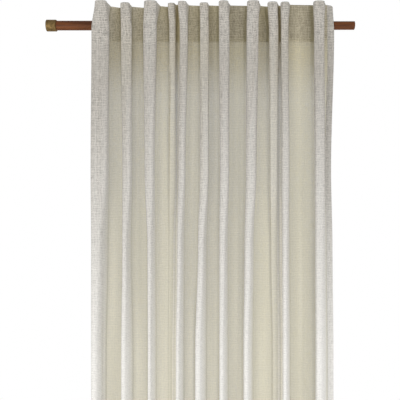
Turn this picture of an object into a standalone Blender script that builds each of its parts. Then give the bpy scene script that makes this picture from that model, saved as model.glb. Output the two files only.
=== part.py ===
"""A sheer voile curtain, gathered in deep uneven folds, on a telescopic rod.

Metres, +Z up. The curtain's front faces -Y. The origin is on the rod's axis, halfway along the
gathered heading. The cloth, its heading tape and its hidden back tabs are lofted from one plan of
the folds, which is worked out afresh at each height so that it always holds the panel's flat width.
"""

import math
from typing import NamedTuple

import bmesh
import bpy

MM = 0.001
AIR = 0.3 * MM  # between pieces that touch
SHARP_EDGE = math.radians(60)

# Brass cap, turned; it slips over the outer tube's left end
CAP_LEFT = -0.4970
CAP_RIGHT = -0.4672
CAP_RADIUS = 17.0 * MM
CAP_FACE = 3.5 * MM
CAP_EDGE = 1.2 * MM

# Rod
OUTER_RADIUS = 14.0 * MM
INNER_RADIUS = 12.5 * MM
OUTER_BORE = 13.0 * MM
ROD_LEFT = CAP_LEFT + CAP_FACE + AIR
ROD_STEP = 0.0480
ROD_RIGHT = 0.4205
INNER_START = ROD_LEFT + 20.0 * MM
ROD_EASE = 0.4 * MM
ROUND_STEPS = 32

# Cloth
FLAT_WIDTH = 1.400
FULLNESS_RANGE = (0.4, 2.2)  # the search for it scales the table's depths between these
HALVINGS = 24
TOP_EDGE = 0.0535
BOTTOM_EDGE = TOP_EDGE - 2.500
CLOTH = 1.2 * MM
HEM_CLOTH = 1.8 * MM
HEM_HEIGHT = 0.100
HEM_STEP = 0.004
CURTAIN_LEFT = -0.3420

# Heading tape and the tabs sewn to its back
TAPE = 1.0 * MM
TAPE_TOP = 0.0460
TAPE_BOTTOM = -0.0540
TAB = 1.0 * MM
TAB_WIDTH = 22.0 * MM
TAB_INSET = 2.0 * MM
TAPE_CORNER = 0.5 * MM  # the tape's corners stand back this far where it turns into a fold
TAB_TOP = 0.0360
TAB_UPPER_SEAM = 0.0220
TAB_LOWER_SEAM = -0.0300
TAB_BOTTOM = -0.0450
TAB_WRAP = math.radians(112)  # from straight behind the rod to where the tab leaves it
TAB_AROUND = 12
TAB_AIR = 0.45 * MM  # at the corners of the tab's flats, whose middles come closer

# The valleys' front lies this far before the rod's axis: the tape's back just clears the rod
ROD_AIR = 0.5 * MM
FRONT = OUTER_RADIUS + ROD_AIR + TAPE + AIR + CLOTH

# Heights at which the fold table gives edges and depths, and the heights of the loft's rows
STATIONS = (TOP_EDGE, -0.024, -0.434, -0.665, -0.969, BOTTOM_EDGE)
ROW_HEIGHTS = (
    TOP_EDGE, TAPE_TOP, 0.011, -0.024, TAPE_BOTTOM, -0.120, -0.250, -0.434, -0.550, -0.665,
    -0.810, -0.969, -1.400, -1.900, BOTTOM_EDGE + HEM_HEIGHT + HEM_STEP,
    BOTTOM_EDGE + HEM_HEIGHT, BOTTOM_EDGE,
)


class Fold(NamedTuple):
    """One fold: its left edge, right edge and depth in mm at the six stations, and its form.

    The lean is how far its left wall hangs over the valley, for each mm of depth. A round of 1
    makes it a tube in the heading, and of 0 a crest that slopes off to the right, as all folds do
    further down. The valley to its right starts this shelf forward, and dips by this much at the
    top edge, in mm.
    """

    left: tuple
    right: tuple
    depth: tuple
    lean: float
    round: float
    shelf: float
    dip: float


FOLDS = (
    Fold((-343, -354, -356, -354, -354, -353), (-307, -302, -302, -308, -315, -315),
         (44, 44, 42, 40, 38, 40), 0.62, 1.0, 12, 6),
    Fold((-272, -271, -265, -265, -268, -272), (-242, -236, -235, -240, -236, -240),
         (28, 30, 34, 36, 36, 38), 0.26, 0.9, 10, 6),
    Fold((-202, -205, -200, -192, -191, -198), (-161, -163, -168, -168, -168, -170),
         (43, 43, 40, 38, 36, 38), 0.24, 0.9, 6, 3),
    Fold((-134, -130, -132, -132, -134, -138), (-108, -107, -105, -112, -116, -120),
         (24, 24, 10, 4, 1, 2), 0.24, 0.6, 2, -3),
    Fold((-104, -99, -103, -106, -110, -114), (-75, -72, -79, -84, -86, -87),
         (38, 36, 34, 34, 34, 36), 0.24, 0.8, 4, 0),
    Fold((-41, -40, -40, -46, -54, -52), (-15, -13, -11, -18, -20, -20),
         (27, 28, 30, 34, 36, 34), 0.26, 1.0, 3, 0),
    Fold((14, 15, 18, 16, 16, 18), (45, 48, 49, 45, 44, 48),
         (42, 42, 40, 38, 36, 38), 0.24, 0.9, 3, 0),
    Fold((96, 95, 93, 89, 86, 91), (133, 131, 128, 121, 117, 124),
         (43, 43, 40, 38, 36, 36), 0.24, 1.0, 4, 2),
    Fold((156, 161, 164, 168, 173, 167), (189, 192, 193, 195, 198, 192),
         (34, 32, 18, 9, 6, 12), 0.24, 0.8, 2, 0),
    Fold((194, 196, 197, 198, 199, 204), (224, 222, 226, 226, 227, 234),
         (33, 33, 34, 36, 36, 36), 0.24, 0.7, 3, -2),
    Fold((288, 291, 293, 294, 295, 296), (325, 325, 330, 334, 336, 338),
         (41, 40, 38, 36, 36, 38), 0.24, 0.8, 8, 0),
)
RIGHT_EDGE = (353, 357, 348, 352, 355, 356)  # the cloth's right side edge at the stations


class Shape(NamedTuple):
    """A point of a fold's plan: across it for a slope and for a tube, and its reach forward.

    The hang is how much of the left overhang it takes, and the tuck how much of the right one.
    The corner is how far the top edge rounds down there, in mm.
    """

    slope: float
    tube: float
    hang: float
    tuck: float
    reach: float
    corner: float


FOLD_SHAPE = (
    Shape(0.00, 0.00, 1.00, 0.00, 0.07, 1.0),
    Shape(0.00, 0.00, 0.55, 0.00, 0.35, 2.0),
    Shape(0.00, 0.00, 0.00, 0.00, 0.72, 2.4),
    Shape(0.05, 0.08, 0.00, 0.00, 0.94, 0.8),
    Shape(0.20, 0.42, 0.00, 0.00, 1.00, 0.0),
    Shape(0.43, 0.90, 0.00, 0.00, 0.94, 0.3),
    Shape(0.68, 1.00, 0.00, 0.00, 0.66, 1.8),
    Shape(0.87, 1.00, 0.00, 0.70, 0.32, 2.4),
    Shape(1.00, 1.00, 0.00, 1.00, 0.07, 1.0),
)
# How much the folds are tubes, lean and tuck back under at the stations
TUBES = (1.0, 1.0, 0.75, 0.25, 0.0, 0.0)
LEANS = (0.5, 1.0, 1.0, 1.0, 1.0, 1.0)
TUCKS = (-0.14, 0.12, 0.12, 0.12, 0.12, 0.12)
FADED = 12.0 * MM  # a fold shallower than this spreads its points evenly
VALLEY_EASE = 4.0 * MM  # from a fold's root or foot to where the valley lies flat
VALLEY_POINTS = 3
SHELF_LEFT = (0.85, 0.35, 0.0)  # how much of the shelf remains at the valley's three points

# Below the tape a valley's middle wanders back and forth, the more so the broader it is
WAVE = 3.0 * MM
WAVES_DOWN = 9.0
WAVE_SHIFT = 2.1
BROAD_VALLEY = 0.060
FREE_BELOW = 0.400


def clear_scene():
    for item in list(bpy.data.objects):
        bpy.data.objects.remove(item, do_unlink=True)


def material(name, colour, roughness, metallic=0.0, alpha=1.0):
    made = bpy.data.materials.new(name)
    made.use_nodes = True
    shader = made.node_tree.nodes["Principled BSDF"]
    shader.inputs["Base Color"].default_value = (*colour, 1.0)
    shader.inputs["Roughness"].default_value = roughness
    shader.inputs["Metallic"].default_value = metallic
    shader.inputs["Alpha"].default_value = alpha
    return made


def ease(share):
    """From 0 to 1, slow at both ends."""
    share = min(1.0, max(0.0, share))
    return share * share * (3 - 2 * share)


def at_height(values, z):
    """The value at height z between the stations, eased so that folds curve and don't kink."""
    if z >= STATIONS[0]:
        return values[0]
    for upper, lower, above, below in zip(STATIONS, STATIONS[1:], values, values[1:]):
        if z >= lower:
            return above + (below - above) * ease((upper - z) / (upper - lower))
    return values[-1]


def below_tape(z):
    """0 at the heading tape, rising to 1 where the cloth below it hangs quite free."""
    return min(1.0, max(0.0, (TAPE_BOTTOM - z) / FREE_BELOW))


def shelf_at(fold, z):
    """How far forward the valley to a fold's right starts at height z."""
    return fold.shelf * MM * (1 - 0.5 * below_tape(z))


def fold_points(fold, z, fullness):
    """The nine points of a fold at height z, seen from above, from its left root to its foot."""
    left = at_height(fold.left, z) * MM
    right = at_height(fold.right, z) * MM
    depth = at_height(fold.depth, z) * MM * fullness
    shelf = min(shelf_at(fold, z), depth / 3)
    firm = min(1.0, depth / FADED)
    tube = fold.round * at_height(TUBES, z)
    lean = fold.lean * at_height(LEANS, z)
    tuck = tube * at_height(TUCKS, z)
    points = []
    for number, shape in enumerate(FOLD_SHAPE):
        evenly = number / (len(FOLD_SHAPE) - 1)
        across = shape.slope + (shape.tube - shape.slope) * tube
        across = evenly + (across - evenly) * firm
        hang = (shape.hang * lean - shape.tuck * tuck) * depth
        x = left + across * (right - left) + hang * firm
        y = FRONT + evenly * shelf + shape.reach * (depth - evenly * shelf)
        points.append((x, -y))
    return points


def valley_points(number, start, end, z):
    """Three points across a valley, or across the flat stretch at either side edge."""
    turn = min(VALLEY_EASE, (end - start) / 4)
    shelf = shelf_at(FOLDS[number - 1], z) if number else 0.0
    breadth = min(1.0, (end - start) / BROAD_VALLEY)
    sag = WAVE * breadth * math.sin(WAVES_DOWN * z + WAVE_SHIFT * number) * below_tape(z)
    first = start if number == 0 else start + turn
    last = end if number == len(FOLDS) else end - turn
    across = (first, (first + last) / 2, last)
    sags = (0.0, sag, 0.0)
    return [(x, -(FRONT + share * shelf + wander))
            for x, share, wander in zip(across, SHELF_LEFT, sags)]


def plan_at(z, fullness):
    """The cloth's front line seen from above at height z, from its left edge to its right one."""
    folds = [fold_points(fold, z, fullness) for fold in FOLDS]
    starts = [CURTAIN_LEFT] + [fold[-1][0] for fold in folds]
    ends = [fold[0][0] for fold in folds] + [at_height(RIGHT_EDGE, z) * MM]
    points = []
    for number, (start, end) in enumerate(zip(starts, ends)):
        points += valley_points(number, start, end, z)
        if number < len(folds):
            points += folds[number]
    return points


def top_dips():
    """How far the top edge dips below its highest line at each point of the plan."""
    dips = [0.0] * VALLEY_POINTS
    before = 0.0
    for fold in FOLDS:
        for number, shape in enumerate(FOLD_SHAPE):
            share = 2 * number / (len(FOLD_SHAPE) - 1) - 1
            beside = before if share < 0 else fold.dip
            dips.append((beside * share * share + shape.corner) * MM)
        dips += [fold.dip * MM] * VALLEY_POINTS
        before = fold.dip
    return dips


def length_of(points):
    return sum(math.dist(a, b) for a, b in zip(points, points[1:]))


def settled_plan(z):
    """The plan at height z with all depths scaled alike until it is as long as the flat cloth."""
    low, high = FULLNESS_RANGE
    for _ in range(HALVINGS):
        middle = (low + high) / 2
        if length_of(plan_at(z, middle)) < FLAT_WIDTH:
            low = middle
        else:
            high = middle
    return plan_at(z, (low + high) / 2)


def set_back(points, distance):
    """The line moved back by a distance, square to its own segments, with mitred corners."""
    moved = []
    for index, (x, y) in enumerate(points):
        normals = []
        for first in (index - 1, index):
            if 0 <= first < len(points) - 1:
                (ax, ay), (bx, by) = points[first], points[first + 1]
                span = math.hypot(bx - ax, by - ay)
                normals.append((-(by - ay) / span, (bx - ax) / span))
        nx = sum(n[0] for n in normals) / len(normals)
        ny = sum(n[1] for n in normals) / len(normals)
        square = nx * nx + ny * ny
        moved.append((x + distance * nx / square, y + distance * ny / square))
    return moved


def finish(name, mesh_data, finish_material, collection):
    made = bpy.data.objects.new(name, mesh_data)
    made.data.materials.append(finish_material)
    collection.objects.link(made)
    return made


def sheet_solid(name, rows, finish_material, collection):
    """A closed sheet: rows of (heights, front line, back line) joined face by face."""
    bm = bmesh.new()
    fronts, backs = [], []
    for heights, front, back in rows:
        fronts.append([bm.verts.new((x, y, z)) for (x, y), z in zip(front, heights)])
        backs.append([bm.verts.new((x, y, z)) for (x, y), z in zip(back, heights)])
    last_row, last_column = len(rows) - 1, len(fronts[0]) - 1
    for row in range(last_row):
        for column in range(last_column):
            a, b = fronts[row], fronts[row + 1]
            bm.faces.new((a[column], b[column], b[column + 1], a[column + 1]))
            a, b = backs[row], backs[row + 1]
            bm.faces.new((a[column], a[column + 1], b[column + 1], b[column]))
        for column, turned in ((0, False), (last_column, True)):
            rim = (fronts[row][column], backs[row][column],
                   backs[row + 1][column], fronts[row + 1][column])
            bm.faces.new(rim[::-1] if turned else rim)
    for column in range(last_column):
        for row, turned in ((0, False), (last_row, True)):
            rim = (fronts[row][column], fronts[row][column + 1],
                   backs[row][column + 1], backs[row][column])
            bm.faces.new(rim[::-1] if turned else rim)
    bmesh.ops.triangulate(bm, faces=bm.faces[:], quad_method="FIXED")
    mesh = bpy.data.meshes.new(name)
    bm.to_mesh(mesh)
    bm.free()
    mesh.shade_smooth()
    mesh.set_sharp_from_angle(angle=SHARP_EDGE)
    return finish(name, mesh, finish_material, collection)


def panel(plans, finish_material, collection):
    """The voile itself: one thickness from the heading to the double bottom hem."""
    rows = []
    for z, line in plans.items():
        heights = [z] * len(line)
        if z == TOP_EDGE:
            heights = [z - dip for dip in top_dips()]
        in_hem = z <= BOTTOM_EDGE + HEM_HEIGHT
        rows.append((heights, line, set_back(line, HEM_CLOTH if in_hem else CLOTH)))
    return sheet_solid("panel", rows, finish_material, collection)


def heading_tape(plans, finish_material, collection):
    """The tape behind the heading, which follows every fold."""
    rows = []
    for z, line in plans.items():
        if TAPE_BOTTOM <= z <= TAPE_TOP:
            near = set_back(line, CLOTH + AIR)[1:-1]
            far = set_back(line, CLOTH + AIR + TAPE)[1:-1]
            rows.append(([z] * len(near), near, far))
    return sheet_solid("heading_tape", rows, finish_material, collection)


def tab(number, centre, rod_radius, finish_material, collection):
    """A back tab: sewn to the tape above and below, and round the rod's back in between."""
    seam = -(FRONT - CLOTH - AIR - TAPE - TAPE_CORNER - AIR) + TAB / 2
    round_radius = rod_radius + TAB_AIR + TAB / 2
    path = [(seam, TAB_TOP), (seam, TAB_UPPER_SEAM)]
    for step in range(TAB_AROUND + 1):
        angle = TAB_WRAP * (1 - 2 * step / TAB_AROUND)
        path.append((round_radius * math.cos(angle), round_radius * math.sin(angle)))
    path += [(seam, TAB_LOWER_SEAM), (seam, TAB_BOTTOM)]

    mesh = bpy.data.meshes.new(f"tab_{number:02d}")
    verts = [(x, y, z) for y, z in path for x in (-TAB_WIDTH / 2, TAB_WIDTH / 2)]
    faces = [(2 * i, 2 * i + 1, 2 * i + 3, 2 * i + 2) for i in range(len(path) - 1)]
    mesh.from_pydata(verts, [], faces)
    mesh.shade_smooth()
    made = finish(f"tab_{number:02d}", mesh, finish_material, collection)
    made.location.x = centre
    thickness = made.modifiers.new("Cloth", "SOLIDIFY")
    thickness.thickness = TAB
    thickness.offset = 0.0
    thickness.use_even_offset = True
    return made


def tabs(plan, finish_material, collection):
    """A tab behind the flat stretch at each side edge and in the middle of each valley."""
    per_fold = len(FOLD_SHAPE) + VALLEY_POINTS
    for number in range(len(FOLDS) + 1):
        valley = plan[number * per_fold:number * per_fold + VALLEY_POINTS]
        centre = (valley[0][0] + valley[-1][0]) / 2
        centre = max(centre, CURTAIN_LEFT + TAB_WIDTH / 2 + TAB_INSET)
        centre = min(centre, plan[-1][0] - TAB_WIDTH / 2 - TAB_INSET)
        rod_radius = OUTER_RADIUS if centre < ROD_STEP else INNER_RADIUS
        tab(number + 1, centre, rod_radius, finish_material, collection)


def turned(name, profile, left, finish_material, collection, closed=False):
    """A body turned about the rod's axis, from a profile of (distance from left, radius)."""
    mesh = bpy.data.meshes.new(name)
    verts = [(radius, 0.0, along) for along, radius in profile]
    edges = [(i, i + 1) for i in range(len(verts) - 1)]
    if closed:
        edges.append((len(verts) - 1, 0))
    mesh.from_pydata(verts, edges, [])
    made = finish(name, mesh, finish_material, collection)
    made.location.x = left
    made.rotation_euler = (0.0, math.pi / 2, 0.0)
    screw = made.modifiers.new("Turn", "SCREW")
    screw.steps = ROUND_STEPS
    screw.render_steps = ROUND_STEPS
    screw.use_merge_vertices = True
    screw.merge_threshold = 0.01 * MM
    screw.use_smooth_shade = True
    return made


def rod_outer(finish_material, collection):
    """The wider tube, open towards the right, where the narrower one slides out."""
    length = ROD_STEP - ROD_LEFT
    profile = [
        (length, OUTER_BORE), (length, OUTER_RADIUS - ROD_EASE),
        (length - ROD_EASE, OUTER_RADIUS), (0.0, OUTER_RADIUS), (0.0, OUTER_BORE),
    ]
    return turned("rod_outer", profile, ROD_LEFT, finish_material, collection, closed=True)


def rod_inner(finish_material, collection):
    """The narrower tube with its closed, square right end."""
    length = ROD_RIGHT - INNER_START
    profile = [
        (length, 0.0), (length, INNER_RADIUS - ROD_EASE), (length - ROD_EASE, INNER_RADIUS),
        (0.0, INNER_RADIUS), (0.0, 0.0),
    ]
    return turned("rod_inner", profile, INNER_START, finish_material, collection)


def end_cap(finish_material, collection):
    """The brass cap: a plain barrel with eased edges and a flat face, hollow towards the rod."""
    length = CAP_RIGHT - CAP_LEFT
    socket = OUTER_RADIUS + AIR
    profile = [
        (CAP_FACE, 0.0), (CAP_FACE, socket), (length, socket), (length, CAP_RADIUS - CAP_EDGE),
        (length - CAP_EDGE, CAP_RADIUS), (CAP_EDGE, CAP_RADIUS), (0.0, CAP_RADIUS - CAP_EDGE),
        (0.0, 0.0),
    ]
    return turned("end_cap", profile, CAP_LEFT, finish_material, collection)


def main():
    clear_scene()
    collection = bpy.data.collections.new("sheer_voile_curtain_on_rod")
    bpy.context.scene.collection.children.link(collection)

    voile = material("voile", (0.70, 0.67, 0.60), 0.9, alpha=0.8)
    tape_cloth = material("tape_cloth", (0.62, 0.59, 0.51), 0.9)
    walnut = material("walnut", (0.14, 0.06, 0.03), 0.45)
    brass = material("brass", (0.42, 0.30, 0.12), 0.35, metallic=1.0)

    plans = {z: settled_plan(z) for z in ROW_HEIGHTS}
    panel(plans, voile, collection)
    heading_tape(plans, tape_cloth, collection)
    tabs(plans[ROW_HEIGHTS[2]], tape_cloth, collection)
    rod_outer(walnut, collection)
    rod_inner(walnut, collection)
    end_cap(brass, collection)


main()
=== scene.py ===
"""A sheer voile curtain, gathered in deep uneven folds, on a telescopic wood-look rod."""

import math
from typing import NamedTuple

import bpy
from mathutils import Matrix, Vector, noise


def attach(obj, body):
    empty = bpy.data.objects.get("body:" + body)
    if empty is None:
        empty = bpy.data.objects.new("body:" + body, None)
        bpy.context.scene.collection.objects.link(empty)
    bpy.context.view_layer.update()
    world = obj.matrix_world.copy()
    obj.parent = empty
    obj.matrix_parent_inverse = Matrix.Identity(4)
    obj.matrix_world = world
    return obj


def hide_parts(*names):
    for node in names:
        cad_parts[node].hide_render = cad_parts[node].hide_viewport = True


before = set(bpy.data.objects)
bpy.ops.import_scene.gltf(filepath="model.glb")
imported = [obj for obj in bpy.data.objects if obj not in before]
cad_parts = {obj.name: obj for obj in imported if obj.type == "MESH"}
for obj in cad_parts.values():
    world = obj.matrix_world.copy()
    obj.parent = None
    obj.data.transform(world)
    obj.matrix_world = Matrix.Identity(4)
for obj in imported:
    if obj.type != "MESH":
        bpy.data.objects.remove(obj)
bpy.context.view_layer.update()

# Panel
# One panel of sheer plain-woven voile, hemmed down its sides and along its foot, with its heading
# turned back. Its tape gathers it to half its width, so it hangs in eleven uneven folds that lean
# to the left.
MM = 0.001
FLAT_WIDTH = 1.400
TOP_EDGE = 0.0535
DROP = 2.500
BOTTOM_EDGE = TOP_EDGE - DROP
CURTAIN_LEFT = -0.3420
FRONT = 17.0 * MM
TAPE_TOP = 0.0460
TAPE_BOTTOM = -0.0540
STATIONS = (TOP_EDGE, -0.024, -0.434, -0.665, -0.969, BOTTOM_EDGE)
FULLNESS_RANGE = (0.4, 2.2)
HALVINGS = 18


class Fold(NamedTuple):
    """One fold: its left edge, right edge and depth in mm at the six stations, and its form.

    The lean is how far its left wall hangs over the valley, for each mm of depth. A round of 1
    makes it a tube in the heading, and of 0 a crest that slopes off to the right, as all folds do
    further down. The valley to its right starts this shelf forward, and dips by this much at the
    top edge, in mm.
    """

    left: tuple
    right: tuple
    depth: tuple
    lean: float
    round: float
    shelf: float
    dip: float


FOLDS = (
    Fold((-343, -354, -356, -354, -354, -353), (-307, -302, -302, -308, -315, -315),
         (44, 44, 42, 40, 38, 40), 0.62, 1.0, 12, 6),
    Fold((-272, -271, -265, -265, -268, -272), (-242, -236, -235, -240, -236, -240),
         (28, 30, 34, 36, 36, 38), 0.26, 0.9, 10, 6),
    Fold((-202, -205, -200, -192, -191, -198), (-161, -163, -168, -168, -168, -170),
         (43, 43, 40, 38, 36, 38), 0.24, 0.9, 6, 3),
    Fold((-134, -130, -132, -132, -134, -138), (-108, -107, -105, -112, -116, -120),
         (24, 24, 10, 4, 1, 2), 0.24, 0.6, 2, -3),
    Fold((-104, -99, -103, -106, -110, -114), (-75, -72, -79, -84, -86, -87),
         (38, 36, 34, 34, 34, 36), 0.24, 0.8, 4, 0),
    Fold((-41, -40, -40, -46, -54, -52), (-15, -13, -11, -18, -20, -20),
         (27, 28, 30, 34, 36, 34), 0.26, 1.0, 3, 0),
    Fold((14, 15, 18, 16, 16, 18), (45, 48, 49, 45, 44, 48),
         (42, 42, 40, 38, 36, 38), 0.24, 0.9, 3, 0),
    Fold((96, 95, 93, 89, 86, 91), (133, 131, 128, 121, 117, 124),
         (43, 43, 40, 38, 36, 36), 0.24, 1.0, 4, 2),
    Fold((156, 161, 164, 168, 173, 167), (189, 192, 193, 195, 198, 192),
         (34, 32, 18, 9, 6, 12), 0.24, 0.8, 2, 0),
    Fold((194, 196, 197, 198, 199, 204), (224, 222, 226, 226, 227, 234),
         (33, 33, 34, 36, 36, 36), 0.24, 0.7, 3, -2),
    Fold((288, 291, 293, 294, 295, 296), (325, 325, 330, 334, 336, 338),
         (41, 40, 38, 36, 36, 38), 0.24, 0.8, 8, 0),
)
RIGHT_EDGE = (353, 357, 348, 352, 355, 356)  # the cloth's right side edge at the stations


class Shape(NamedTuple):
    """A point of a fold's plan: across it for a slope and for a tube, and its reach forward.

    The hang is how much of the left overhang it takes, and the tuck how much of the right one.
    The corner is how far the top edge rounds down there, in mm.
    """

    slope: float
    tube: float
    hang: float
    tuck: float
    reach: float
    corner: float


FOLD_SHAPE = (
    Shape(0.00, 0.00, 1.00, 0.00, 0.07, 1.0),
    Shape(0.00, 0.00, 0.55, 0.00, 0.35, 2.0),
    Shape(0.00, 0.00, 0.00, 0.00, 0.72, 2.4),
    Shape(0.05, 0.08, 0.00, 0.00, 0.94, 0.8),
    Shape(0.20, 0.42, 0.00, 0.00, 1.00, 0.0),
    Shape(0.43, 0.90, 0.00, 0.00, 0.94, 0.3),
    Shape(0.68, 1.00, 0.00, 0.00, 0.66, 1.8),
    Shape(0.87, 1.00, 0.00, 0.70, 0.32, 2.4),
    Shape(1.00, 1.00, 0.00, 1.00, 0.07, 1.0),
)
# How much the folds are tubes, lean and tuck back under at the stations
TUBES = (1.0, 1.0, 0.75, 0.25, 0.0, 0.0)
LEANS = (0.5, 1.0, 1.0, 1.0, 1.0, 1.0)
TUCKS = (-0.14, 0.12, 0.12, 0.12, 0.12, 0.12)
FADED = 12.0 * MM
VALLEY_EASE = 4.0 * MM
VALLEY_POINTS = 3
SHELF_LEFT = (0.85, 0.35, 0.0)
WAVE = 3.0 * MM
WAVES_DOWN = 9.0
WAVE_SHIFT = 2.1
BROAD_VALLEY = 0.060
FREE_BELOW = 0.400


def ease(share):
    """From 0 to 1, slow at both ends."""
    share = min(1.0, max(0.0, share))
    return share * share * (3 - 2 * share)


def at_height(values, z):
    """The value at height z between the stations, eased so that folds curve and don't kink."""
    if z >= STATIONS[0]:
        return values[0]
    for upper, lower, above, below in zip(STATIONS, STATIONS[1:], values, values[1:]):
        if z >= lower:
            return above + (below - above) * ease((upper - z) / (upper - lower))
    return values[-1]


def below_tape(z):
    """0 at the heading tape, rising to 1 where the cloth below it hangs quite free."""
    return min(1.0, max(0.0, (TAPE_BOTTOM - z) / FREE_BELOW))


def shelf_at(fold, z):
    """How far forward the valley to a fold's right starts at height z."""
    return fold.shelf * MM * (1 - 0.5 * below_tape(z))


def fold_points(fold, z, fullness):
    """The nine points of a fold at height z, seen from above, from its left root to its foot."""
    left = at_height(fold.left, z) * MM
    right = at_height(fold.right, z) * MM
    depth = at_height(fold.depth, z) * MM * fullness
    shelf = min(shelf_at(fold, z), depth / 3)
    firm = min(1.0, depth / FADED)
    tube = fold.round * at_height(TUBES, z)
    lean = fold.lean * at_height(LEANS, z)
    tuck = tube * at_height(TUCKS, z)
    points = []
    for number, shape in enumerate(FOLD_SHAPE):
        evenly = number / (len(FOLD_SHAPE) - 1)
        across = shape.slope + (shape.tube - shape.slope) * tube
        across = evenly + (across - evenly) * firm
        hang = (shape.hang * lean - shape.tuck * tuck) * depth
        x = left + across * (right - left) + hang * firm
        y = FRONT + evenly * shelf + shape.reach * (depth - evenly * shelf)
        points.append((x, -y))
    return points


def valley_points(number, start, end, z):
    """Three points across a valley, or across the flat stretch at either side edge."""
    turn = min(VALLEY_EASE, (end - start) / 4)
    shelf = shelf_at(FOLDS[number - 1], z) if number else 0.0
    breadth = min(1.0, (end - start) / BROAD_VALLEY)
    sag = WAVE * breadth * math.sin(WAVES_DOWN * z + WAVE_SHIFT * number) * below_tape(z)
    first = start if number == 0 else start + turn
    last = end if number == len(FOLDS) else end - turn
    across = (first, (first + last) / 2, last)
    sags = (0.0, sag, 0.0)
    return [(x, -(FRONT + share * shelf + wander))
            for x, share, wander in zip(across, SHELF_LEFT, sags)]


def plan_at(z, fullness):
    """The cloth's front line seen from above at height z, from its left edge to its right one."""
    folds = [fold_points(fold, z, fullness) for fold in FOLDS]
    starts = [CURTAIN_LEFT] + [fold[-1][0] for fold in folds]
    ends = [fold[0][0] for fold in folds] + [at_height(RIGHT_EDGE, z) * MM]
    points = []
    for number, (start, end) in enumerate(zip(starts, ends)):
        points += valley_points(number, start, end, z)
        if number < len(folds):
            points += folds[number]
    return points


def length_of(points):
    return sum(math.dist(a, b) for a, b in zip(points, points[1:]))


def settled_plan(z):
    """The plan at height z with all depths scaled alike until it is as long as the flat cloth."""
    low, high = FULLNESS_RANGE
    for _ in range(HALVINGS):
        middle = (low + high) / 2
        if length_of(plan_at(z, middle)) < FLAT_WIDTH:
            low = middle
        else:
            high = middle
    return plan_at(z, (low + high) / 2)


def top_dips():
    """How far the top edge dips below its highest line at each point of the plan."""
    dips = [0.0] * VALLEY_POINTS
    before = 0.0
    for fold in FOLDS:
        for number, shape in enumerate(FOLD_SHAPE):
            share = 2 * number / (len(FOLD_SHAPE) - 1) - 1
            beside = before if share < 0 else fold.dip
            dips.append((beside * share * share + shape.corner) * MM)
        dips += [fold.dip * MM] * VALLEY_POINTS
        before = fold.dip
    return dips


CURVE_STEPS = 5  # columns of the mesh to each interval of the plan
VOILE_BACK = 0.6 * MM  # the cloth's middle lies this far behind the solid's front


class Ridge(NamedTuple):
    """A soft upright crease: its x in mm at its top and foot, its heights, and its form in mm."""

    x_top: float
    x_foot: float
    top: float
    foot: float
    width: float
    rise: float


# The long ridges between the main folds are listed, and the finest wander at random
RIDGES = (
    Ridge(257, 259, TOP_EDGE, -1.60, 8, 3.0),
    Ridge(72, 70, -0.050, -1.20, 6, 2.0),
    Ridge(145, 147, -0.050, -1.90, 5, -1.6),
    Ridge(-60, -64, -0.080, -1.30, 5, 1.5),
    Ridge(-222, -226, -0.060, -1.50, 6, 1.8),
    Ridge(-150, -152, -0.100, -2.00, 5, 1.4),
    Ridge(268, 272, -0.300, -2.20, 7, -2.0),
    Ridge(240, 243, -0.200, -1.80, 6, -1.8),
)
RIDGE_FADE = 0.180  # a ridge comes up and dies away over this height
CRINKLE = 0.7 * MM
CRINKLES_ACROSS = 42.0
CRINKLES_DOWN = 1.7
CRINKLE_FADE = 0.120


def ridges_at(x, z):
    """How far the cloth at x and z stands forward on its own creases."""
    rise = 0.0
    for ridge in RIDGES:
        if ridge.foot < z <= ridge.top:
            share = (ridge.top - z) / (ridge.top - ridge.foot)
            centre = (ridge.x_top + (ridge.x_foot - ridge.x_top) * share) * MM
            off = (x - centre) / (ridge.width * MM)
            fade = ease((ridge.top - z) / RIDGE_FADE) * ease((z - ridge.foot) / RIDGE_FADE)
            rise += ridge.rise * MM * math.exp(-off * off) * fade
    return rise


def smooth_line(points):
    """A smooth curve through the points, with a few steps between each two."""
    ends = [points[0], *points, points[-1]]
    line = []
    for a, b, c, d in zip(ends, ends[1:], ends[2:], ends[3:]):
        for step in range(CURVE_STEPS):
            t = step / CURVE_STEPS
            line.append(tuple(
                0.5 * (2 * q + (r - p) * t + (2 * p - 5 * q + 4 * r - s) * t * t
                       + (3 * q - p - 3 * r + s) * t * t * t)
                for p, q, r, s in zip(a, b, c, d)))
    return line + [points[-1]]


def set_back(points, distance):
    """The line moved back by a distance, square to itself."""
    moved = []
    for index, (x, y) in enumerate(points):
        ax, ay = points[max(0, index - 1)]
        bx, by = points[min(len(points) - 1, index + 1)]
        span = math.hypot(bx - ax, by - ay)
        moved.append((x - distance * (by - ay) / span, y + distance * (bx - ax) / span))
    return moved


def cloth_line(z):
    """The smooth line of the hung cloth at height z, with its creases."""
    line = smooth_line(settled_plan(z))
    loose = ease((TAPE_BOTTOM - z) / CRINKLE_FADE)
    across = 0.0
    creased = []
    for index, (x, y) in enumerate(line):
        if index:
            across += math.dist(line[index], line[index - 1])
        wander = noise.noise((across * CRINKLES_ACROSS, z * CRINKLES_DOWN, 0.5))
        y -= ridges_at(x, z) + CRINKLE * wander * loose
        creased.append((x, y))
    return creased


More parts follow.
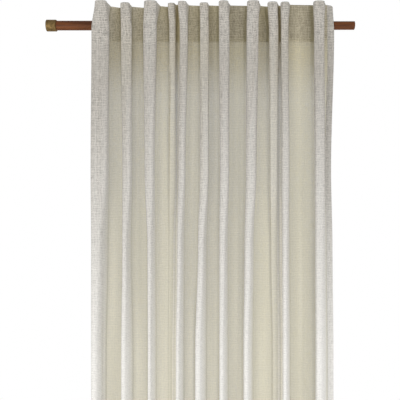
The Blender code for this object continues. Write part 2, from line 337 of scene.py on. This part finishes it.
class Value:
    """A socket that stands in sums as a number does, so that a finish reads as a formula."""

    def __init__(self, nodes, socket):
        self.nodes = nodes
        self.socket = socket

    def sum(self, operation, *values):
        return self.nodes.node("ShaderNodeMath", {"operation": operation}, *values)

    def __add__(self, other):
        return self.sum("ADD", self, other)

    def __radd__(self, other):
        return self.sum("ADD", other, self)

    def __sub__(self, other):
        return self.sum("SUBTRACT", self, other)

    def __rsub__(self, other):
        return self.sum("SUBTRACT", other, self)

    def __mul__(self, other):
        return self.sum("MULTIPLY", self, other)

    def __rmul__(self, other):
        return self.sum("MULTIPLY", other, self)

    def __truediv__(self, other):
        return self.sum("DIVIDE", self, other)

    def __rtruediv__(self, other):
        return self.sum("DIVIDE", other, self)

    def wave(self, pitch):
        """From -1 to 1 and back over each pitch."""
        return self.sum("SINE", self * (2 * math.pi / pitch))

    def larger(self, other):
        return self.sum("MAXIMUM", self, other)

    def smaller(self, other):
        return self.sum("MINIMUM", self, other)

    def held(self):
        """Kept between 0 and 1."""
        return self.larger(0.0).smaller(1.0)


class Nodes:
    """A node tree, and the one method that adds any node to it."""

    def __init__(self, tree):
        self.tree = tree

    def feed(self, place, value):
        """Link a socket or set it. A colour is given without its opacity."""
        if isinstance(value, Value):
            self.tree.links.new(value.socket, place)
        elif isinstance(value, tuple):
            place.default_value = (*value, 1.0)
        elif value is not None:
            place.default_value = value

    def node(self, kind, settings, *values, output=0, **named):
        """A node with its settings and the values of its sockets, in order or by name."""
        made = self.tree.nodes.new(kind)
        for setting, value in settings.items():
            setattr(made, setting, value)
        for place, value in zip(made.inputs, values):
            self.feed(place, value)
        for name, value in named.items():
            self.feed(made.inputs[name.replace("_", " ").title()], value)
        return Value(self, made.outputs[output]) if made.outputs else None


class Finish(Nodes):
    """A material for one of the pieces."""

    def __init__(self, name, roughness, metallic=0.0):
        self.material = bpy.data.materials.new(name)
        self.material.use_nodes = True
        super().__init__(self.material.node_tree)
        self.shader = self.tree.nodes["Principled BSDF"]
        self.set("Roughness", roughness)
        self.set("Metallic", metallic)

    def set(self, name, value):
        self.feed(self.shader.inputs[name], value)

    def mix(self, share, colour_a, colour_b):
        """Colour a, turning to colour b as the share goes from 0 to 1."""
        return self.node("ShaderNodeMix", {"data_type": "RGBA"}, share, *[None] * 5,
                         colour_a, colour_b, output=2)

    def cloth_place(self):
        """Metres across and up the flat cloth, from its own map."""
        place = self.node("ShaderNodeUVMap", {"uv_map": "cloth"})
        return [self.node("ShaderNodeSeparateXYZ", {}, place, output=axis) for axis in "XY"]

    def solid_place(self):
        """Metres along each axis, for a finish that goes right through its piece."""
        place = self.node("ShaderNodeTexCoord", {}, output="Object")
        return [self.node("ShaderNodeSeparateXYZ", {}, place, output=axis) for axis in "XYZ"]

    def given(self, name):
        """A value from 0 to 1 that the mesh gives each of its points."""
        return self.node("ShaderNodeAttribute", {"attribute_name": name}, output="Fac")

    def grain(self, x, y, z=0.0, detail=2.0):
        """Soft noise from 0 to 1 at a place already divided by the size of its spots."""
        place = self.node("ShaderNodeCombineXYZ", {}, x, y, z)
        return self.node("ShaderNodeTexNoise", {}, place, scale=1.0, detail=detail)

    def raised(self, height, depth):
        """Surface relief of the given depth in metres where the height goes from 0 to 1."""
        bump = self.node("ShaderNodeBump", {}, strength=1.0, distance=depth, height=height)
        self.set("Normal", bump)


# The weave is of uneven linen-look yarn in greige, with thicker slubs along both ways that show
# as a faint mottled grid. It is matte and a little see-through.
YARN = 1.15 * MM
WARP_SLUB = (3.6 * MM, 20.0 * MM)
WEFT_SLUB = (15.0 * MM, 3.8 * MM)
MESH = (4.3 * MM, 4.7 * MM)  # every fourth yarn or so is thick, and leaves a small hole beside it
KNOT = 3.3 * MM
STREAK = (7.0 * MM, 1.4)
HUE_SPOT = (9.0 * MM, 60.0 * MM)
BEND = 16.0 * MM  # the yarns bend aside over this length,
BEND_BY = 5.0 * MM  # and by this much
LOOSE_SPOT = 12.0 * MM
CREST_FADE = (1.45, 0.80)  # where up the cloth the painted shade on its crests starts to darken them, and over what height
SHEER = 0.72
GATHERED = 0.20  # how much denser it looks where the heading gathers it
CREST_DENSE = 0.22  # and on the crests, where it lies double
LIT = 1.8  # a fold's side takes its crest's painted lit tone from a little over half of its depth, and below that the painted shade of its sides
WEAVE_DEPTH = 0.6 * MM

voile = Finish("voile", 0.92)
u, v = voile.cloth_place()
# These marks carry painted light. The recess mark sets a painted valley shade, the crease mark a
# painted shade line beside each fold, and the forward mark the painted lit tone of the crests as well
# as their density. The narrow-valley mark sets a painted light. The heading and gather marks say
# where the tape lies and how tightly the cloth is gathered.
recess_shade = voile.given("recess_shade")  # how far back between the crests,
forward = voile.given("forward")  # how far forward on one,
slot_light = voile.given("slot_light")  # how deep in a narrow valley,
crease = voile.given("crease")  # how near the line beside a fold,
heading = voile.given("heading")  # whether the tape is behind,
gather = voile.given("gather")  # and how tightly it is gathered
warp_slub = voile.grain(u / WARP_SLUB[0], v / WARP_SLUB[1], 1.0)
weft_slub = voile.grain(u / WEFT_SLUB[0], v / WEFT_SLUB[1], 7.0)
knots = ((voile.grain(u / KNOT, v / KNOT, 21.0, detail=0.0) - 0.5) * 3.0 + 0.5).held()
bend = voile.grain(u / BEND, v / BEND, 4.0) * BEND_BY
streak = voile.grain(u / STREAK[0], v / STREAK[1], 3.0, detail=3.0)
hue = voile.grain(u / HUE_SPOT[0], v / HUE_SPOT[1], 9.0)
warp = u.wave(YARN) * 0.5 + 0.5
weft = v.wave(YARN) * 0.5 + 0.5
weave = warp.larger(weft)
holes = ((u + bend).wave(MESH[0]) * 0.5 + 0.5) * ((v + bend).wave(MESH[1]) * 0.5 + 0.5)
slubs = ((warp_slub - 0.5) * 1.5 + (weft_slub - 0.5) * 1.5 + 0.5).held()
uneven = ((voile.grain(u / LOOSE_SPOT, v / LOOSE_SPOT, 12.0) - 0.35) * 3.0).held()
high = ((v - CREST_FADE[0]) / CREST_FADE[1]).held()
# The weave shows more clearly high up and in the heading, and less in the valleys
clear = (1.0 - recess_shade * 0.5) * (0.40 + high * 0.50 + heading * 1.9)
texture = (((slubs - 0.5) * 0.7 + (knots - 0.5) * 0.2 - (holes - 0.25) * (0.7 + uneven * 0.6)) * clear
           + 0.5).held()
# Each tone goes from the thin places of the weave to its thick ones. The crests take a painted lit
# tone that a painted shade darkens high up, and their sides a yellower painted shade. The valleys
# take a darker, yellower painted shade, most of all behind the gathered heading.
lit_crest_tone = voile.mix(high, voile.mix(texture, (0.530, 0.518, 0.492), (0.950, 0.930, 0.888)),
                       voile.mix(texture, (0.205, 0.190, 0.167), (0.548, 0.510, 0.456)))
shaded_side_tone = voile.mix(high, voile.mix(texture, (0.520, 0.478, 0.350), (0.935, 0.860, 0.640)),
                        voile.mix(texture, (0.250, 0.217, 0.145), (0.580, 0.503, 0.330)))
taped_valley_shade = voile.mix(texture, (0.270, 0.238, 0.168), (0.510, 0.455, 0.330))
gathered_valley_shade = voile.mix(texture, (0.345, 0.308, 0.198), (0.625, 0.562, 0.378))
free_valley_shade = voile.mix(texture, (0.285, 0.256, 0.150), (0.522, 0.474, 0.278))
valley_shade_tone = voile.mix(gather, free_valley_shade, voile.mix(heading, gathered_valley_shade, taped_valley_shade))
held_back = 0.8 + gather * 0.2  # the painted valley shade is full where the tape stops the light, and weaker lower down, where more comes through
lit_tone = voile.mix((forward * LIT).held(), shaded_side_tone, lit_crest_tone)
tone = voile.mix(recess_shade * held_back, lit_tone, valley_shade_tone)
# Painted light: a light cream yellow in the narrow valleys where the heading is gathered, for the
# light that comes through the cloth and bounces there.
tone = voile.mix(slot_light * gather, tone, (0.680, 0.590, 0.350))
tint = voile.mix(((hue - 0.35) * 3.0).held(), (0.60, 0.61, 0.57), (0.64, 0.60, 0.56))
tone = voile.mix(((streak - 0.5) * 2.0 + 0.5).held() * (1.0 - recess_shade) * 0.3, tone, tint)
# Painted shade: a dark line beside each fold's overhang and along its foot, a little stronger where
# the heading gathers the cloth.
tone = voile.mix(crease * held_back * 0.6, tone, (0.190, 0.165, 0.075))
voile.set("Base Color", tone)
voile.set("Alpha", (SHEER + gather * GATHERED + weave * 0.06 + (slubs - 0.5) * 0.10 - holes * 0.14
                    + forward * CREST_DENSE).held())
voile.set("Sheen Weight", 0.1)
voile.set("Sheen Roughness", 0.5)
voile.raised(weave * 0.3 + slubs * 0.5 - holes * 0.4, WEAVE_DEPTH)

LIP = 0.8 * MM
HEADING_STEP = 6.5 * MM
HEADING_ROWS = 18
FREE_ROWS = 106
HEM_ROWS_AT = (0.25, 0.5, 0.75, 0.96, 1.0)
HEADING_TURN = 0.060
HEM_HEIGHT = 0.100
SIDE_HEM = 0.020
TURN_BACK = 0.7 * MM  # the turned layer lies this far behind the first
SIDE_BACK = 0.35 * MM  # and the turned side edges this far behind that
# Rows or columns of the turned edges, as shares of each from its raw edge to its fold
HEADING_TURN_AT = (1.0, 0.66, 0.33, 0.03)
SIDE_HEM_AT = (1.0, 0.66, 0.33, 0.02)
BOTTOM_HEM_AT = (0.01, 0.25, 0.5, 0.75, 1.0)


def row_heights():
    """The mesh's rows: close together in the heading, and then evenly down to the hem."""
    heights = [TOP_EDGE, TOP_EDGE - LIP]
    heights += [TOP_EDGE - i * HEADING_STEP for i in range(1, HEADING_ROWS)]
    start = heights[-1]
    end = BOTTOM_EDGE + HEM_HEIGHT
    heights += [start + (end - start) * (i + 1) / FREE_ROWS for i in range(FREE_ROWS)]
    return heights + [end - HEM_HEIGHT * share for share in HEM_ROWS_AT]


ROWS = row_heights()
lines = {z: cloth_line(z) for z in ROWS}
dips = smooth_line([(dip, 0.0) for dip in top_dips()])
PER_FOLD = len(FOLD_SHAPE) + VALLEY_POINTS

# The painted valley shade grows as the cloth lies further back between the crests, up to this depth.
RECESS_DEPTH = 36.0 * MM
RECESS_POWER = 1.2
CREASE_WIDTH = 3.0 * MM
FOOT_CREASE = 0.9
CREASE_VALLEY = 25.0 * MM  # a valley this wide has its painted crease shade lines at full strength
OPEN_VALLEY = 60.0 * MM
CLOSED_TONE = 0.20  # a narrow valley is in shadow already, so it takes less of the painted valley shade
CORNER_ROUND = 8.0 * MM
CORNER_DROP = 3.5 * MM
HEADING_BLUR = 22.0 * MM
GATHER_HEIGHT = 0.180
WALL_STEPS = 2 * CURVE_STEPS  # columns of a fold's left wall, from its root to its overhang
MARK_NAMES = ("recess_shade", "crease", "forward", "slot_light")
HEM_MARK = (0.0, 0.0, 1.0, 0.0)  # a side hem is as dense as a crest, and takes its painted lit tone


# The lines found here take a painted shade, and a narrow valley takes less of the painted valley
# shade.
def creases_of(line):
    """How near each point lies to a fold's foot or overhang, and how open its valley is.

    Both go from 0 to 1.
    """
    found = [0.0] * len(line)
    openness = [1.0] * len(line)
    last_foot = line[0][0]
    start = 0
    for number in range(len(FOLDS)):
        root = (number * PER_FOLD + VALLEY_POINTS) * CURVE_STEPS
        overhang = root + WALL_STEPS
        foot = root + (len(FOLD_SHAPE) - 1) * CURVE_STEPS
        edge = line[overhang][0]
        shown = ease((edge - last_foot) / CREASE_VALLEY)
        for index in range(root - WALL_STEPS, root + CURVE_STEPS):
            near = ease((line[index][0] - edge + 2 * CREASE_WIDTH) / CREASE_WIDTH)
            found[index] = max(found[index], near * shown)
        for index in range(start, overhang):
            openness[index] = ease((edge - last_foot) / OPEN_VALLEY)
        for index in range(foot - CURVE_STEPS, foot + CURVE_STEPS):
            off = math.dist(line[index], line[foot]) / CREASE_WIDTH
            found[index] = FOOT_CREASE * math.exp(-off * off)
        last_foot = line[foot][0]
        start = foot - WALL_STEPS
    return list(zip(found, openness))


def along_from(line, distance):
    """The point of a line at a distance from its first point."""
    for a, b in zip(line, line[1:]):
        span = math.dist(a, b)
        if distance <= span:
            share = distance / span
            return (a[0] + (b[0] - a[0]) * share, a[1] + (b[1] - a[1]) * share)
        distance -= span
    return line[-1]


def sheet_row(z, line, distance, height_on_cloth, dipped, side_hems=True):
    """One row of a sheet, as far behind the cloth's front as given: points, map and marks."""
    moved = set_back(line, distance)
    row = []
    across = 0.0
    width = length_of(line)
    for index, ((x, y), (crease, openness)) in enumerate(zip(moved, creases_of(line))):
        if index:
            across += math.dist(line[index], line[index - 1])
        # Marks for painted light: how far back a point lies sets its painted valley shade, how far
        # forward it stands its painted crest light, and its depth in a narrow valley the painted slot
        # light.
        stand = (-line[index][1] - FRONT) / RECESS_DEPTH
        behind = (1.0 - min(1.0, max(0.0, stand))) ** RECESS_POWER
        deep = behind * (CLOSED_TONE + (1.0 - CLOSED_TONE) * openness)
        slot_light = behind * (1.0 - openness) ** 2
        mark = (deep, crease, 1.0 - behind, slot_light)
        if min(across, width - across) < SIDE_HEM:
            mark = HEM_MARK
        row.append(((x, y), across, dips[index][0], mark))
    if side_hems:
        for ordered, sign, edge in ((moved, -1.0, 0.0), (moved[::-1], 1.0, across)):
            turned = []
            for share in SIDE_HEM_AT:
                x, y = along_from(ordered, SIDE_HEM * share)
                place = edge + sign * SIDE_HEM * share
                turned.append(((x, y + SIDE_BACK), place, 0.0, HEM_MARK))
            row = turned + row if sign < 0 else row + turned[::-1]
    points = []
    for (x, y), place, dip, mark in row:
        inside = min(max(0.0, place), max(0.0, across - place))
        corner = CORNER_DROP * (1.0 - min(1.0, inside / CORNER_ROUND)) ** 2
        points.append(((x, y, z - (dip + corner) * dipped), (place, height_on_cloth), mark))
    return points


def dip_share(z):
    """How much of the top edge's dips a height takes: all at the top, none at the tape."""
    return max(0.0, 1 - (TOP_EDGE - z) / (TOP_EDGE - TAPE_TOP))


turned_back = VOILE_BACK + TURN_BACK
rows = []
for share in HEADING_TURN_AT:
    z = TOP_EDGE - HEADING_TURN * share
    up = DROP + HEADING_TURN * share
    rows.append(sheet_row(z, cloth_line(z), turned_back, up, dip_share(z)))
for z in ROWS:
    rows.append(sheet_row(z, lines[z], VOILE_BACK, z - BOTTOM_EDGE, dip_share(z)))
for share in BOTTOM_HEM_AT:
    z = BOTTOM_EDGE + HEM_HEIGHT * share
    rows.append(sheet_row(z, cloth_line(z), turned_back, -HEM_HEIGHT * share, 0.0))


def cloth_object(name, rows, finish):
    """A smooth sheet from rows of points, each with its place on the flat cloth in metres."""
    columns = len(rows[0])
    verts = [point[0] for row in rows for point in row]
    places = [point[1] for row in rows for point in row]
    faces = [(row * columns + i, (row + 1) * columns + i,
              (row + 1) * columns + i + 1, row * columns + i + 1)
             for row in range(len(rows) - 1) for i in range(columns - 1)]
    mesh = bpy.data.meshes.new(name)
    mesh.from_pydata(verts, [], faces)
    layer = mesh.uv_layers.new(name="cloth")
    for loop in mesh.loops:
        layer.data[loop.index].uv = places[loop.vertex_index]
    mesh.shade_smooth()
    mesh.materials.append(finish.material)
    made = bpy.data.objects.new(name, mesh)
    bpy.context.scene.collection.objects.link(made)
    return made


panel = cloth_object("voile_panel", rows, voile)
marks = [mark for row in rows for _, _, mark in row]
heights = [point[2] - TAPE_BOTTOM for row in rows for point, _, _ in row]
headings = [ease((height + HEADING_BLUR) / (2 * HEADING_BLUR)) for height in heights]
gathers = [ease((height + GATHER_HEIGHT) / GATHER_HEIGHT) for height in heights]
for name, values in (*zip(MARK_NAMES, zip(*marks)), ("heading", headings), ("gather", gathers)):
    panel.data.attributes.new(name, "FLOAT", "POINT").data.foreach_set("value", values)
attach(panel, "root")
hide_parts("panel")

# Heading tape
# Close-woven cotton tape, 100 mm deep, sewn behind the heading. It stiffens it, carries the back
# tabs, and shows through the voile as a darker band.
TAPE_BACK = 2.0 * MM
TAPE_YARN = 1.6 * MM
TAPE_SLUB = (6.0 * MM, 3.0 * MM)
TAPE_RELIEF = 0.4 * MM
TAPE_ROWS = 9

tape_cloth = Finish("tape_cloth", 0.9)
u, v = tape_cloth.cloth_place()
ribs = u.wave(TAPE_YARN) * 0.5 + 0.5
picks = v.wave(TAPE_YARN) * 0.5 + 0.5
slubbed = tape_cloth.grain(u / TAPE_SLUB[0], v / TAPE_SLUB[1], 2.0)
tape_cloth.set("Base Color", tape_cloth.mix(slubbed, (0.52, 0.47, 0.39), (0.68, 0.62, 0.53)))
tape_cloth.raised(ribs.larger(picks), TAPE_RELIEF)

rows = []
for row in range(TAPE_ROWS):
    z = TAPE_TOP + (TAPE_BOTTOM - TAPE_TOP) * row / (TAPE_ROWS - 1)
    rows.append(sheet_row(z, cloth_line(z), TAPE_BACK, z, 0.0, side_hems=False))
tape = cloth_object("tape_band", rows, tape_cloth)
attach(tape, "root")
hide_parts("heading_tape")

# Back tabs
# Twelve strips of the same tape, sewn to it above and below the rod, one behind each valley and
# one at each side edge. They go round the rod and carry the whole curtain.
TAB_WIDTH = 22.0 * MM
TAB_INSET = 2.0 * MM
TAB_THICK = 1.0 * MM
TAB_CLOTH = 0.9 * MM  # the strip itself, a little thinner than its solid
TAB_AIR = 0.45 * MM
TAB_BEHIND = 3.3 * MM  # the tabs start this far behind the cloth's front, behind the tape
TAB_SEAM = TAB_BEHIND - FRONT + TAB_THICK / 2
TAB_TOP, TAB_UPPER_SEAM, TAB_LOWER_SEAM, TAB_BOTTOM = 0.0360, 0.0220, -0.0300, -0.0450
TAB_WRAP = math.radians(112)
TAB_AROUND = 24
TAB_STRIPS = 6
OUTER_RADIUS, INNER_RADIUS = 14.0 * MM, 12.5 * MM
ROD_STEP = 0.0480  # the rod's thicker tube ends here
TAB_PLAN_AT = 0.011  # the tabs stand behind the valleys as they are at this height


def tab_path(rod_radius):
    """The tab's middle line from the side, as (y, z): down the tape and round the rod's back."""
    around = rod_radius + TAB_AIR + TAB_THICK / 2
    path = [(TAB_SEAM, TAB_TOP), (TAB_SEAM, (TAB_TOP + TAB_UPPER_SEAM) / 2),
            (TAB_SEAM, TAB_UPPER_SEAM)]
    for step in range(TAB_AROUND + 1):
        angle = TAB_WRAP * (1 - 2 * step / TAB_AROUND)
        path.append((around * math.cos(angle), around * math.sin(angle)))
    path += [(TAB_SEAM, TAB_LOWER_SEAM), (TAB_SEAM, (TAB_LOWER_SEAM + TAB_BOTTOM) / 2),
             (TAB_SEAM, TAB_BOTTOM)]
    return path


tab_plan = settled_plan(TAB_PLAN_AT)
for number in range(len(FOLDS) + 1):
    valley = tab_plan[number * PER_FOLD:number * PER_FOLD + VALLEY_POINTS]
    centre = (valley[0][0] + valley[-1][0]) / 2
    centre = max(centre, CURTAIN_LEFT + TAB_WIDTH / 2 + TAB_INSET)
    centre = min(centre, tab_plan[-1][0] - TAB_WIDTH / 2 - TAB_INSET)
    path = tab_path(OUTER_RADIUS if centre < ROD_STEP else INNER_RADIUS)
    rows = []
    along = 0.0
    for index, (y, z) in enumerate(path):
        if index:
            along += math.dist(path[index], path[index - 1])
        shares = [(strip / TAB_STRIPS - 0.5) * TAB_WIDTH for strip in range(TAB_STRIPS + 1)]
        rows.append([((centre + across, y, z), (across, along)) for across in shares])
    tab = cloth_object(f"back_tab_{number + 1:02d}", rows, tape_cloth)
    thick = tab.modifiers.new("Thickness", "SOLIDIFY")
    thick.thickness = TAB_CLOTH
    thick.offset = 0.0
    thick.use_even_offset = True
    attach(tab, "root")
    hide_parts(f"tab_{number + 1:02d}")
    rod = "rod_outer" if centre < ROD_STEP else "rod_inner"

# Seams
# Straight machine stitches in the voile's own colour: two rows hold the tape, and one runs up
# each hem.
STITCH = 2.6 * MM
STITCH_GAP = 1.2 * MM
THREAD = 0.45 * MM
LUSTRE_SPOT = 5.0 * MM
SEAM_IN = 2 * MM  # a seam runs this far inside its edge
SUNK = 0.2 * MM  # and an upright one pulls this far into the cloth

thread = Finish("thread", 0.7)
x, y, z = thread.solid_place()
lustre = thread.grain(x / LUSTRE_SPOT, y / LUSTRE_SPOT, z / LUSTRE_SPOT)
thread.set("Base Color", thread.mix(lustre, (0.50, 0.47, 0.41), (0.64, 0.61, 0.54)))


def stitch_tree():
    """Nodes that lay a small rounded stitch at even steps along a line."""
    group = bpy.data.node_groups.new("machine_stitches", "GeometryNodeTree")
    group.interface.new_socket("Geometry", in_out="INPUT", socket_type="NodeSocketGeometry")
    inputs = {}
    for name in ("Step", "Length", "Thread"):
        socket = group.interface.new_socket(name, in_out="INPUT", socket_type="NodeSocketFloat")
        inputs[name] = socket.identifier
    group.interface.new_socket("Geometry", in_out="OUTPUT", socket_type="NodeSocketGeometry")
    nodes = Nodes(group)
    line, step, length, width = [
        nodes.node("NodeGroupInput", {}, output=name) for name in ("Geometry", *inputs)]
    curve = nodes.node("GeometryNodeMeshToCurve", {}, line)
    even = nodes.node("GeometryNodeResampleCurve", {"mode": "LENGTH"}, curve, length=step)
    along = nodes.node("GeometryNodeInputTangent", {})
    turn = nodes.node("FunctionNodeAlignRotationToVector", {"axis": "X"}, vector=along)
    ball = nodes.node("GeometryNodeMeshUVSphere", {}, segments=6, rings=4, radius=0.5)
    size = nodes.node("ShaderNodeCombineXYZ", {}, length, width, width)
    laid = nodes.node("GeometryNodeInstanceOnPoints", {}, even, instance=ball, rotation=turn,
                      scale=size)
    real = nodes.node("GeometryNodeRealizeInstances", {}, laid)
    done = nodes.node("GeometryNodeSetMaterial", {}, real, material=thread.material)
    nodes.node("NodeGroupOutput", {}, done)
    return group, inputs


stitches, stitch_inputs = stitch_tree()


def sewn(name, seams):
    """One piece of stitches along the seams, each a list of points."""
    verts, edges = [], []
    for seam in seams:
        start = len(verts)
        verts += seam
        edges += [(start + i, start + i + 1) for i in range(len(seam) - 1)]
    mesh = bpy.data.meshes.new(name + "_line")
    mesh.from_pydata(verts, edges, [])
    line = bpy.data.objects.new(name + "_line", mesh)
    bpy.context.scene.collection.objects.link(line)
    nodes = line.modifiers.new("Stitches", "NODES")
    nodes.node_group = stitches
    for socket, size in (("Step", STITCH + STITCH_GAP), ("Length", STITCH), ("Thread", THREAD)):
        nodes[stitch_inputs[socket]] = size
    evaluated = line.evaluated_get(bpy.context.evaluated_depsgraph_get())
    plain = bpy.data.meshes.new_from_object(evaluated)
    plain.name = name
    bpy.data.objects.remove(line)
    made = bpy.data.objects.new(name, plain)
    plain.shade_smooth()
    bpy.context.scene.collection.objects.link(made)
    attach(made, "root")
    return made


def level_seam(z):
    return [(x, y, z) for x, y in set_back(cloth_line(z), VOILE_BACK - THREAD / 2)]


def upright_seam(inset, from_left):
    """A seam that runs down the cloth at a distance from one of its side edges."""
    seam = []
    for z, line in lines.items():
        ordered = line if from_left else line[::-1]
        gone, index = 0.0, 0
        while gone < inset:
            gone += math.dist(ordered[index], ordered[index + 1])
            index += 1
        x, y = ordered[index]
        seam.append((x, y + VOILE_BACK - THREAD / 2 - SUNK, z))
    return seam


heading_stitches = sewn("heading_stitches", [
    level_seam(TAPE_TOP - SEAM_IN), level_seam(TAPE_BOTTOM + SEAM_IN)])
hem_stitches = sewn("hem_stitches", [
    level_seam(BOTTOM_EDGE + HEM_HEIGHT - SEAM_IN),
    upright_seam(SIDE_HEM - SEAM_IN, True), upright_seam(SIDE_HEM - SEAM_IN, False)])

# Rod
# Two steel tubes, one inside the other, with a printed wood-look skin: red-brown walnut with
# fine grain that runs lengthwise.
FINE_GRAIN = (30.0 * MM, 1.2 * MM)  # along the rod and across it
BROAD_GRAIN = (120.0 * MM, 8.0 * MM)
GRAIN_DEPTH = 0.15 * MM

walnut = Finish("walnut_skin", 0.50)
walnut.set("Specular IOR Level", 0.20)
x, y, z = walnut.solid_place()
fine = walnut.grain(x / FINE_GRAIN[0], y / FINE_GRAIN[1], z / FINE_GRAIN[1], detail=4.0)
broad = walnut.grain(x / BROAD_GRAIN[0], y / BROAD_GRAIN[1], z / BROAD_GRAIN[1])
skin = walnut.mix(((broad - 0.35) * 2.2).held(), (0.086, 0.025, 0.006), (0.200, 0.064, 0.016))
skin = walnut.mix(((fine - 0.52) * 5.0).held() * 0.55, skin, (0.040, 0.014, 0.007))
walnut.set("Base Color", skin)
walnut.raised(fine, GRAIN_DEPTH)
for name in ("rod_outer", "rod_inner"):
    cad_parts[name].material_slots[0].material = walnut.material

# End cap
# Turned brass barrel with an aged satin finish, pushed over the end of the rod.
TURNING = (0.6 * MM, 20.0 * MM)  # the tool's marks, along the rod and round it
STAIN_SPOT = 6.0 * MM
TURNING_DEPTH = 0.08 * MM

brass = Finish("aged_brass", 0.5, metallic=1.0)
x, y, z = brass.solid_place()
turning = brass.grain(x / TURNING[0], y / TURNING[1], z / TURNING[1])
stain = brass.grain(x / STAIN_SPOT, y / STAIN_SPOT, z / STAIN_SPOT, detail=4.0)
brass.set("Base Color", brass.mix(
    ((stain - 0.4) * 3.0).held(), (0.255, 0.170, 0.070), (0.120, 0.082, 0.036)))
brass.set("Roughness", 0.52 + stain * 0.25)
brass.raised(turning, TURNING_DEPTH)
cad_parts["end_cap"].material_slots[0].material = brass.material

# Floor, light and camera
# A plain pale floor just below the hem, an even white backdrop and three soft square lamps. The
# camera stands level, across from the upper part of the cloth.
FLOOR_AT = BOTTOM_EDGE - 0.012
FLOOR_RADIUS = 3.4
FLOOR_SIDES = 96
SOFT_LIGHT = 0.68
BACKDROP = 1.0

mesh = bpy.data.meshes.new("floor")
angles = [2 * math.pi * i / FLOOR_SIDES for i in range(FLOOR_SIDES)]
ring = [(FLOOR_RADIUS * math.cos(angle), FLOOR_RADIUS * math.sin(angle), FLOOR_AT)
        for angle in angles]
mesh.from_pydata(ring, [], [tuple(range(FLOOR_SIDES))])
floor_finish = Finish("pale_floor", 0.9)
floor_finish.set("Base Color", (0.80, 0.80, 0.79))
mesh.materials.append(floor_finish.material)
floor = bpy.data.objects.new("floor", mesh)
bpy.context.scene.collection.objects.link(floor)

world = bpy.data.worlds.new("studio")
world.use_nodes = True
bpy.context.scene.world = world
studio = Nodes(world.node_tree)
backdrop = world.node_tree.nodes["Background"]
seen = studio.node("ShaderNodeLightPath", {}, output="Is Camera Ray")
strength = studio.node("ShaderNodeMix", {}, seen, None, SOFT_LIGHT, BACKDROP)
studio.feed(backdrop.inputs["Color"], (1.0, 1.0, 1.0))
studio.feed(backdrop.inputs["Strength"], strength)


def lamp(name, at, aim, size, power, colour):
    light = bpy.data.lights.new(name, "AREA")
    light.color = colour
    light.shape = "SQUARE"
    light.size = size
    light.energy = power
    made = bpy.data.objects.new(name, light)
    made.location = at
    made.rotation_euler = (Vector(aim) - Vector(at)).to_track_quat("-Z", "Y").to_euler()
    made.visible_camera = False
    bpy.context.scene.collection.objects.link(made)


lamp("key", (-1.7, -2.3, -1.3), (0.0, 0.0, -1.1), 1.4, 39, (1.0, 1.0, 1.0))
lamp("low_right", (1.9, -2.2, -1.4), (0.0, 0.0, -1.2), 1.6, 27, (1.0, 1.0, 1.0))
lamp("back", (1.1, 2.4, -0.9), (0.0, 0.0, -1.1), 1.6, 22, (1.0, 1.0, 1.0))

FOCAL_PIXELS = 569.7
PHOTO_SIDE = 400
SENSOR = 36.0
camera_data = bpy.data.cameras.new("camera")
camera_data.sensor_width = SENSOR
camera_data.lens = SENSOR * FOCAL_PIXELS / PHOTO_SIDE
camera = bpy.data.objects.new("camera", camera_data)
camera.location = (-0.0395, -1.70, -0.5204)
camera.rotation_euler = (math.radians(90), 0.0, 0.0)
bpy.context.scene.collection.objects.link(camera)
bpy.context.scene.camera = camera
bpy.context.scene.view_settings.view_transform = "Standard"
